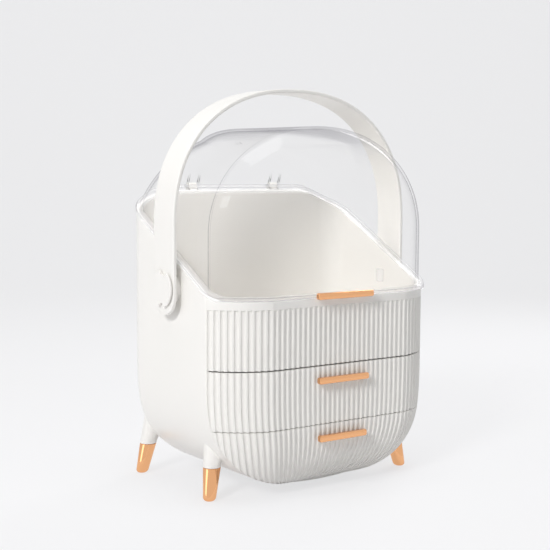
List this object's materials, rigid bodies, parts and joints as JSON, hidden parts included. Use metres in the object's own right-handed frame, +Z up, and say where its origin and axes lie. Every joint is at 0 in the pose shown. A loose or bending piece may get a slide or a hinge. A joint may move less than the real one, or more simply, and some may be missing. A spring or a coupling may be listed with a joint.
{
  "type": "dustproof makeup organizer",
  "caption": "Tabletop cosmetics case with a fluted front, stacked drawers, a clear vaulted dust lid hinged at the back, splayed legs and a flat bail handle over the top.",
  "frame": {"origin": "centre of the bounding box in X and Y, on the table that the feet rest on", "axes": "+Z up, -Y towards the fluted front and its drawers, +X to the right of someone facing the front"},
  "size_m": [0.2686, 0.1848, 0.36],
  "materials": {
    "white_shell": "glossy injection-moulded white",
    "tray_plastic": "satin white",
    "clear_lid": "clear moulded",
    "rose_gold_plating": "polished rose-gold plating",
    "pin_steel": "plain steel"
  },
  "bodies": {
    "case": {"case_shell": "white_shell", "upper_front_panel": "white_shell", "compartment_floor": "tray_plastic", "drawer_shelf": "tray_plastic", "foot_cap_front_left": "rose_gold_plating", "foot_cap_front_right": "rose_gold_plating", "foot_cap_rear_left": "rose_gold_plating", "foot_cap_rear_right": "rose_gold_plating", "handle_pivot_left": "white_shell", "handle_pivot_right": "white_shell", "pivot_retainer_left": "clear_lid", "pivot_retainer_right": "clear_lid"},
    "upper_drawer": {"drawer_upper_front": "white_shell", "drawer_upper_tray": "tray_plastic", "drawer_upper_bar": "rose_gold_plating", "drawer_upper_screw_left": "pin_steel", "drawer_upper_screw_right": "pin_steel"},
    "lower_drawer": {"drawer_lower_front": "white_shell", "drawer_lower_tray": "tray_plastic", "drawer_lower_bar": "rose_gold_plating", "drawer_lower_screw_left": "pin_steel", "drawer_lower_screw_right": "pin_steel"},
    "lid": {"lid_shell": "clear_lid", "lid_bar": "rose_gold_plating", "hinge_pin_left": "pin_steel", "hinge_pin_right": "pin_steel"},
    "handle": {"bail_handle": "white_shell"}
  },
  "joints": [
    {"name": "upper_drawer_slide", "type": "slide", "parent": "case", "child": "upper_drawer", "axis": [0, -1, 0], "range_m": [0, 0.1]},
    {"name": "lower_drawer_slide", "type": "slide", "parent": "case", "child": "lower_drawer", "axis": [0, -1, 0], "range_m": [0, 0.1]},
    {"name": "lid_hinge", "type": "hinge", "parent": "case", "child": "lid", "pos_m": [0, 0.0892, 0.271], "axis": [-1, 0, 0], "range_deg": [0, 35]},
    {"name": "handle_swing", "type": "hinge", "parent": "case", "child": "handle", "pos_m": [0, 0.0007, 0.183], "axis": [-1, 0, 0], "range_deg": [0, 125]}
  ],
  "couplings": [
    {"joint": "handle_swing", "follows": "lid_hinge", "ratio": 3.57}
  ]
}
